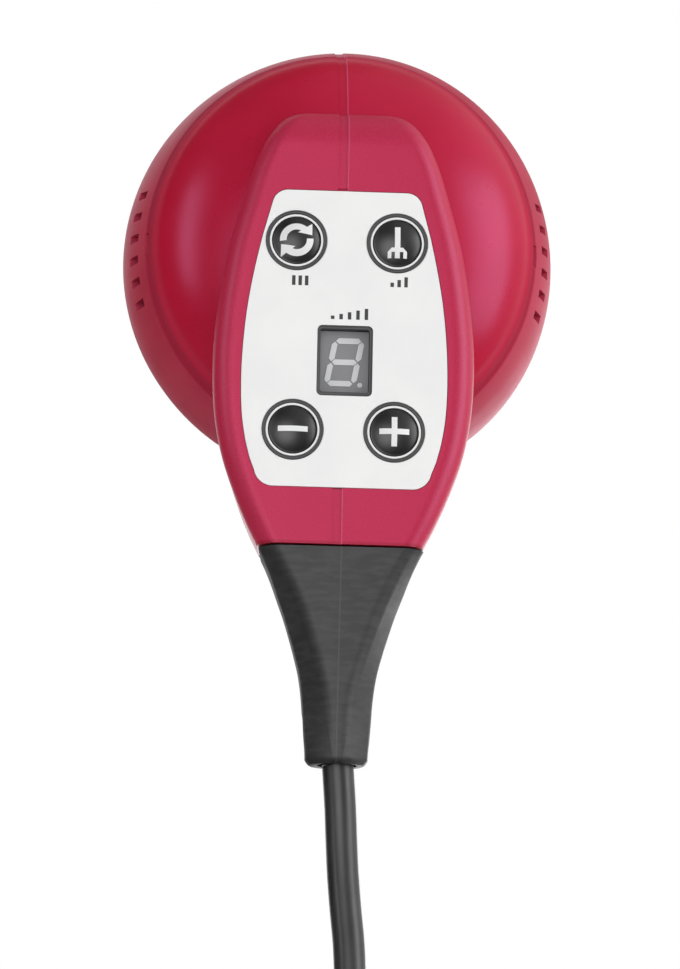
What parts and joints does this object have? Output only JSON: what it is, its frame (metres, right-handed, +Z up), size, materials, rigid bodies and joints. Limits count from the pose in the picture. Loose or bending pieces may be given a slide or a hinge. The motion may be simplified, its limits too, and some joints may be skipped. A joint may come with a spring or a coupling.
{
  "type": "pet dryer",
  "caption": "Hand-held warm-air pet dryer: round fan body, spine handle with keypad and digit display, rubber boot and tied mains cord with plug.",
  "frame": {"origin": "middle of the grip, on the mid-plane, at the height of the control panel's lower edge", "axes": "+Z up along the handle, +Y along the fan axis towards the air outlet, +X to the right as seen from the control panel"},
  "size_m": [0.09, 0.1199, 0.3536],
  "materials": {
    "crimson_shell": "satin, lightly spark-eroded",
    "pale_panel": "smooth",
    "black_plastic": "matt",
    "dark_grey_plastic": "matt",
    "white_plastic": "matt",
    "grey_resin": "smooth",
    "segment_white": "matt",
    "circuit_board": "satin",
    "boot_rubber": "matt",
    "cord_pvc": "smooth",
    "wire_pvc": "smooth",
    "steel": "zinc plated",
    "bearing_steel": "ground",
    "brass": "plain",
    "copper": "enamelled",
    "aluminium": "plain",
    "ferrite": "sintered",
    "mica": "pressed",
    "filter_film": "smooth",
    "filter_foam": "open cell"
  },
  "bodies": {
    "casing": {"left_housing": "crimson_shell", "right_housing": "crimson_shell", "housing_screws": "steel", "control_panel": "pale_panel", "button_trim_rings": "black_plastic", "switch_bodies": "black_plastic", "display_bezel": "black_plastic", "display_module": "grey_resin", "display_segments": "segment_white", "control_board": "circuit_board", "power_board": "circuit_board", "filter_capacitor": "filter_film", "choke": "copper", "triac": "black_plastic", "heat_sink": "aluminium", "ribbon_cable": "wire_pvc", "mains_wires": "wire_pvc", "motor_wires": "wire_pvc", "heater_wires": "wire_pvc", "motor_can": "steel", "motor_end_cap": "black_plastic", "motor_magnets": "ferrite", "rear_bearing": "bearing_steel", "front_bearing": "bearing_steel", "carbon_brushes": "ferrite", "motor_rubber_rings": "boot_rubber", "motor_cradle": "white_plastic", "fan_duct": "white_plastic", "heat_shield": "mica", "heater_boards": "mica", "heater_coil": "steel", "thermostat": "black_plastic", "thermal_fuse": "aluminium", "outlet_nozzle": "dark_grey_plastic", "outlet_grille": "dark_grey_plastic", "intake_filters": "filter_foam", "cord_boot": "boot_rubber", "cord_entry": "cord_pvc", "cord_clamp": "black_plastic", "clamp_screws": "steel", "cord_drop": "cord_pvc", "cord_hank": "cord_pvc", "cord_tie": "boot_rubber", "plug_body": "cord_pvc", "plug_pins": "bearing_steel"},
    "rotor": {"fan_impeller": "white_plastic", "fan_nut": "brass", "motor_shaft": "bearing_steel", "armature_core": "steel", "armature_winding": "copper", "commutator": "copper"},
    "heat_key": {"heat_button": "black_plastic", "heat_plunger": "brass"},
    "boost_key": {"boost_button": "black_plastic", "boost_plunger": "brass"},
    "slower_key": {"slower_button": "black_plastic", "slower_plunger": "brass"},
    "faster_key": {"faster_button": "black_plastic", "faster_plunger": "brass"}
  },
  "joints": [
    {"name": "heat_press", "type": "slide", "parent": "casing", "child": "heat_key", "axis": [0, 1, 0], "range_m": [0, 0.0007], "stiffness_N_per_m": 2000},
    {"name": "boost_press", "type": "slide", "parent": "casing", "child": "boost_key", "axis": [0, 1, 0], "range_m": [0, 0.0007], "stiffness_N_per_m": 2000},
    {"name": "slower_press", "type": "slide", "parent": "casing", "child": "slower_key", "axis": [0, 1, 0], "range_m": [0, 0.0007], "stiffness_N_per_m": 2000},
    {"name": "faster_press", "type": "slide", "parent": "casing", "child": "faster_key", "axis": [0, 1, 0], "range_m": [0, 0.0007], "stiffness_N_per_m": 2000},
    {"name": "fan_spin", "type": "hinge", "parent": "casing", "child": "rotor", "pos_m": [0, 0.042, 0.0536], "axis": [0, 1, 0], "continuous": true}
  ]
}
